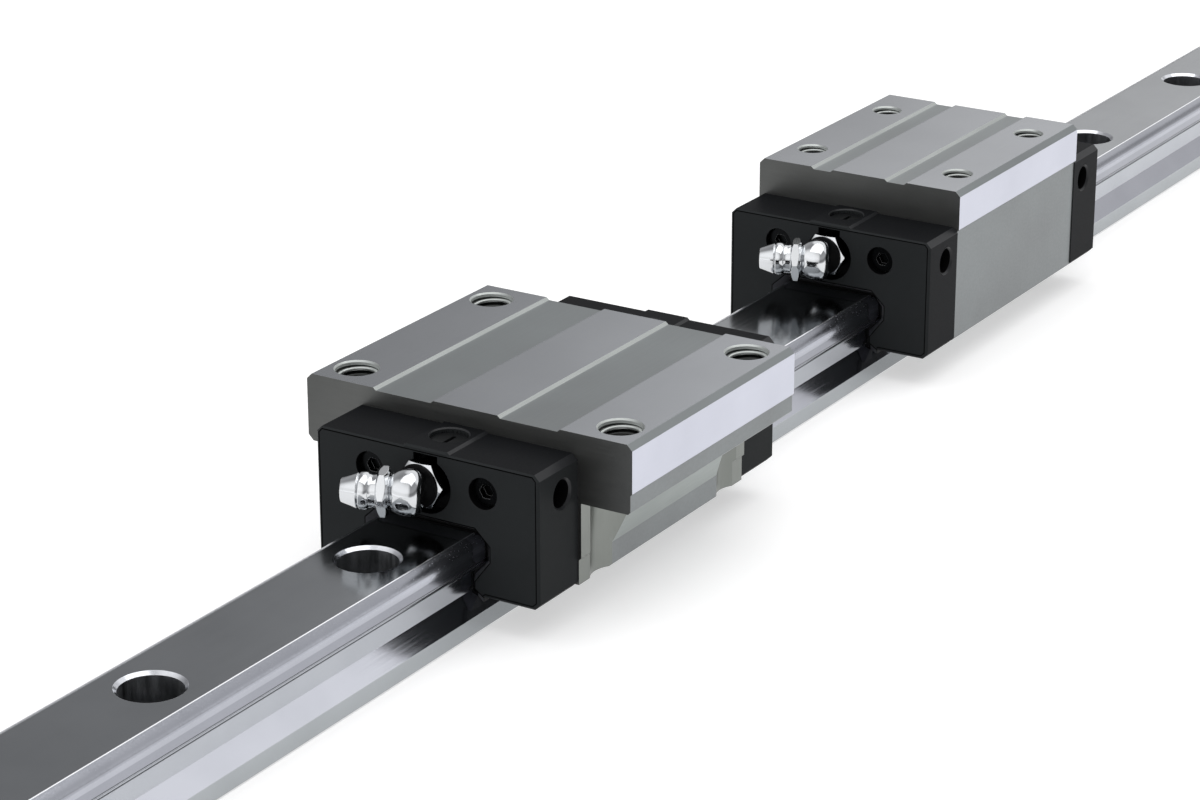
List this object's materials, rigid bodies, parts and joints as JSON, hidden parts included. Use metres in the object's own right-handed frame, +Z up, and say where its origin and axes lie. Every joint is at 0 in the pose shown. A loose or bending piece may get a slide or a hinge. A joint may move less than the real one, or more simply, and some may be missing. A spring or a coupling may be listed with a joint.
{
  "type": "manual linear slide",
  "caption": "Profiled steel guide rail with counterbored holes, a flanged and a slim ball carriage with black end caps and angled grease nipples.",
  "frame": {"origin": "on the floor under the middle of the rail", "axes": "+X across the rail, +Y along it away from the grease nipples, +Z up from the rail's base"},
  "size_m": [0.07, 0.58, 0.04],
  "materials": {
    "rail_steel": "ground",
    "block_steel": "ground top and sides, scale elsewhere",
    "cap_plastic": "moulded black",
    "seal_rubber": "black rubber",
    "plug_black": "black oxide",
    "screw_black": "black oxide",
    "nipple_chrome": "bright plated"
  },
  "bodies": {
    "rail": {"rail": "rail_steel"},
    "flanged_carriage": {"flanged_block": "block_steel", "flanged_front_cap": "cap_plastic", "flanged_front_seal": "seal_rubber", "flanged_front_top_plug": "plug_black", "flanged_front_screw_left": "screw_black", "flanged_front_screw_right": "screw_black", "flanged_rear_cap": "cap_plastic", "flanged_rear_seal": "seal_rubber", "flanged_rear_top_plug": "plug_black", "flanged_rear_screw_left": "screw_black", "flanged_rear_screw_right": "screw_black", "flanged_nipple": "nipple_chrome", "flanged_rear_port_plug": "plug_black"},
    "slim_carriage": {"slim_block": "block_steel", "slim_front_cap": "cap_plastic", "slim_front_seal": "seal_rubber", "slim_front_top_plug": "plug_black", "slim_front_screw_left": "screw_black", "slim_front_screw_right": "screw_black", "slim_rear_cap": "cap_plastic", "slim_rear_seal": "seal_rubber", "slim_rear_top_plug": "plug_black", "slim_rear_screw_left": "screw_black", "slim_rear_screw_right": "screw_black", "slim_nipple": "nipple_chrome", "slim_rear_port_plug": "plug_black"}
  },
  "joints": [
    {"name": "flanged_slide", "type": "slide", "parent": "rail", "child": "flanged_carriage", "axis": [0, 1, 0], "range_m": [-0.155, 0.026]},
    {"name": "slim_slide", "type": "slide", "parent": "rail", "child": "slim_carriage", "axis": [0, 1, 0], "range_m": [-0.026, 0.185]}
  ]
}
